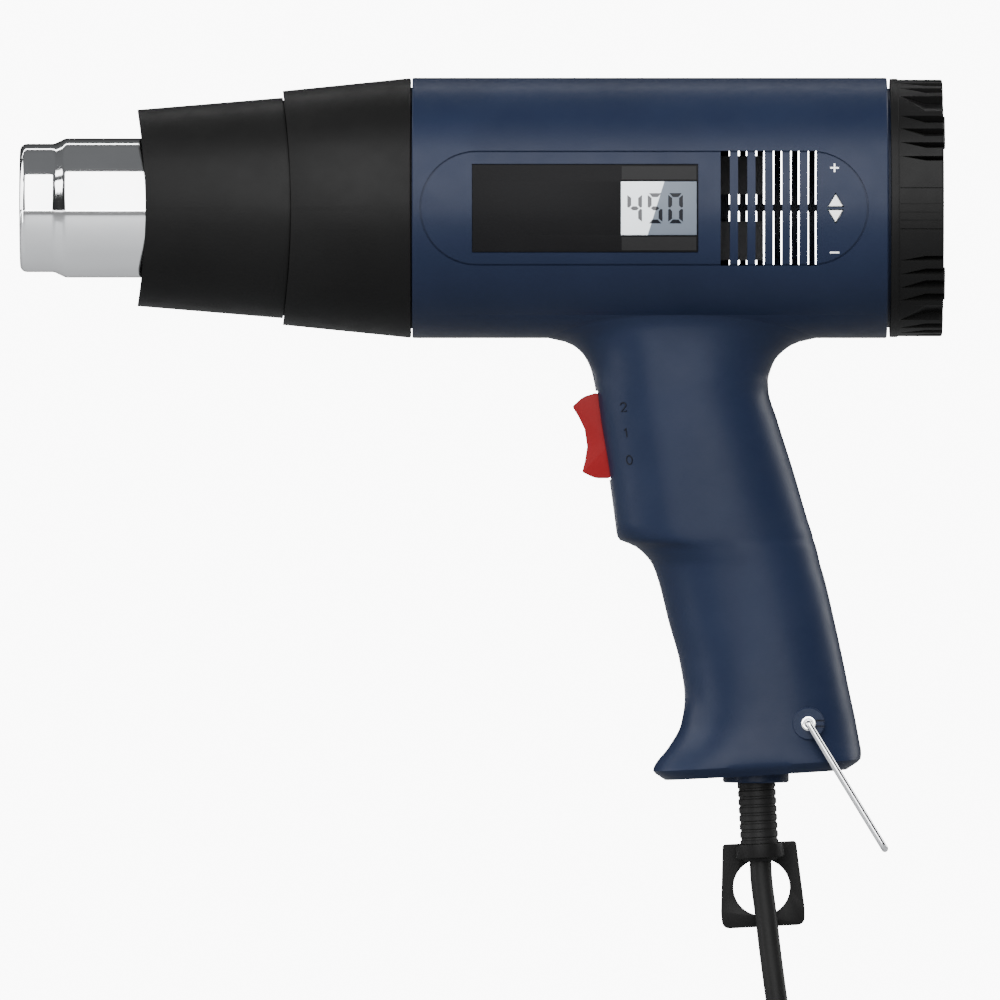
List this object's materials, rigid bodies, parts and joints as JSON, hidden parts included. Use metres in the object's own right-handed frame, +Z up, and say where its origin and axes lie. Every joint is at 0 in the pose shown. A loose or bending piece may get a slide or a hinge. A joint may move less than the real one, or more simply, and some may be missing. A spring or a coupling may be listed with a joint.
{
  "type": "heat gun",
  "caption": "Pistol-shaped hot air gun with stepped steel nozzle, ribbed rear intake, side display with two buttons, three-position rocker, folding wire stand, hanging plate and corded plug",
  "frame": {"origin": "middle of the grip, on the plane between the two housing halves", "axes": "+X from nozzle to rear cap along the barrel, +Y across the gun away from the display, +Z up, with the barrel level above the grip"},
  "size_m": [0.2517, 0.0714, 0.4709],
  "materials": {
    "housing_left": "satin navy plastic",
    "housing_right": "satin navy plastic",
    "front_collar": "matte black plastic",
    "front_sleeve": "matte black plastic",
    "nozzle_tube": "polished steel",
    "rear_cap": "matte black plastic",
    "intake_filter": "dark mesh",
    "label_plate": "black film",
    "display_window": "liquid crystal window",
    "display_module": "display module",
    "display_board": "circuit board",
    "button_board": "circuit board",
    "push_switches": "small switches",
    "button_up": "white plastic",
    "button_down": "white plastic",
    "switch_body": "black plastic",
    "rocker_pin": "steel",
    "rocker": "red plastic",
    "switch_terminals": "brass",
    "mica_tube": "mica",
    "element_former": "mica board",
    "heating_coil": "resistance wire",
    "thermocouple": "steel",
    "tube_screws": "zinc plated steel",
    "air_funnel": "dark plastic",
    "fan": "pale plastic",
    "rotor_shaft": "steel",
    "armature": "wound copper",
    "commutator": "copper",
    "motor_can": "zinc plated steel",
    "magnets": "ferrite",
    "motor_bushes": "bronze",
    "motor_end_cap": "dark plastic",
    "brushes": "carbon",
    "brush_holders": "dark plastic",
    "damper_ring": "rubber",
    "motor_spider": "dark plastic",
    "control_board": "circuit board",
    "capacitor": "capacitor",
    "triac": "power device",
    "heat_sink": "aluminium",
    "lead_end": "cord sheath",
    "inner_wires": "wire insulation",
    "cord_clamp": "white plastic",
    "clamp_screws": "zinc plated steel",
    "housing_screws": "zinc plated steel",
    "stand_eyelets": "nickel plated",
    "wire_stand": "bright wire",
    "strain_relief": "soft black rubber",
    "hanger": "black plastic",
    "cord": "black sheath",
    "cord_coil": "black sheath",
    "cord_tail": "black sheath",
    "cord_tie": "black strap",
    "plug_body": "black moulded rubber",
    "plug_pins": "nickel plated"
  },
  "bodies": {
    "gun": {"housing_left": "housing_left", "housing_right": "housing_right", "front_collar": "front_collar", "front_sleeve": "front_sleeve", "nozzle_tube": "nozzle_tube", "rear_cap": "rear_cap", "intake_filter": "intake_filter", "label_plate": "label_plate", "display_window": "display_window", "display_module": "display_module", "display_board": "display_board", "button_board": "button_board", "push_switches": "push_switches", "switch_body": "switch_body", "rocker_pin": "rocker_pin", "switch_terminals": "switch_terminals", "mica_tube": "mica_tube", "element_former": "element_former", "heating_coil": "heating_coil", "thermocouple": "thermocouple", "tube_screws": "tube_screws", "air_funnel": "air_funnel", "motor_can": "motor_can", "magnets": "magnets", "motor_bushes": "motor_bushes", "motor_end_cap": "motor_end_cap", "brushes": "brushes", "brush_holders": "brush_holders", "damper_ring": "damper_ring", "motor_spider": "motor_spider", "control_board": "control_board", "capacitor": "capacitor", "triac": "triac", "heat_sink": "heat_sink", "lead_end": "lead_end", "inner_wires": "inner_wires", "cord_clamp": "cord_clamp", "clamp_screws": "clamp_screws", "housing_screws": "housing_screws", "stand_eyelets": "stand_eyelets", "strain_relief": "strain_relief", "cord": "cord", "cord_coil": "cord_coil", "cord_tail": "cord_tail", "cord_tie": "cord_tie", "plug_body": "plug_body", "plug_pins": "plug_pins"},
    "rocker": {"rocker": "rocker"},
    "button_up": {"button_up": "button_up"},
    "button_down": {"button_down": "button_down"},
    "rotor": {"rotor_shaft": "rotor_shaft", "fan": "fan", "armature": "armature", "commutator": "commutator"},
    "stand": {"wire_stand": "wire_stand"},
    "hanger": {"hanger": "hanger"}
  },
  "joints": [
    {"name": "rocker_tilt", "type": "hinge", "parent": "gun", "child": "rocker", "pos_m": [-0.03663, 0, 0.04836], "axis": [0, 1, 0], "range_deg": [-8, 8]},
    {"name": "button_up_press", "type": "slide", "parent": "gun", "child": "button_up", "axis": [0, 1, 0], "range_m": [0, 0.0008], "stiffness_N_per_m": 300, "springref_m": -0.0003},
    {"name": "button_down_press", "type": "slide", "parent": "gun", "child": "button_down", "axis": [0, 1, 0], "range_m": [0, 0.0008], "stiffness_N_per_m": 300, "springref_m": -0.0003},
    {"name": "fan_spin", "type": "hinge", "parent": "gun", "child": "rotor", "pos_m": [-0.06, 0, 0.11], "axis": [1, 0, 0], "continuous": true},
    {"name": "stand_swing", "type": "hinge", "parent": "gun", "child": "stand", "pos_m": [0.0168, 0, -0.0302], "axis": [0, -1, 0], "range_deg": [-20, 138]},
    {"name": "hanger_swivel", "type": "hinge", "parent": "gun", "child": "hanger", "pos_m": [0.00375, 0, -0.06497], "axis": [0.0523, 0, -0.9986], "continuous": true}
  ]
}
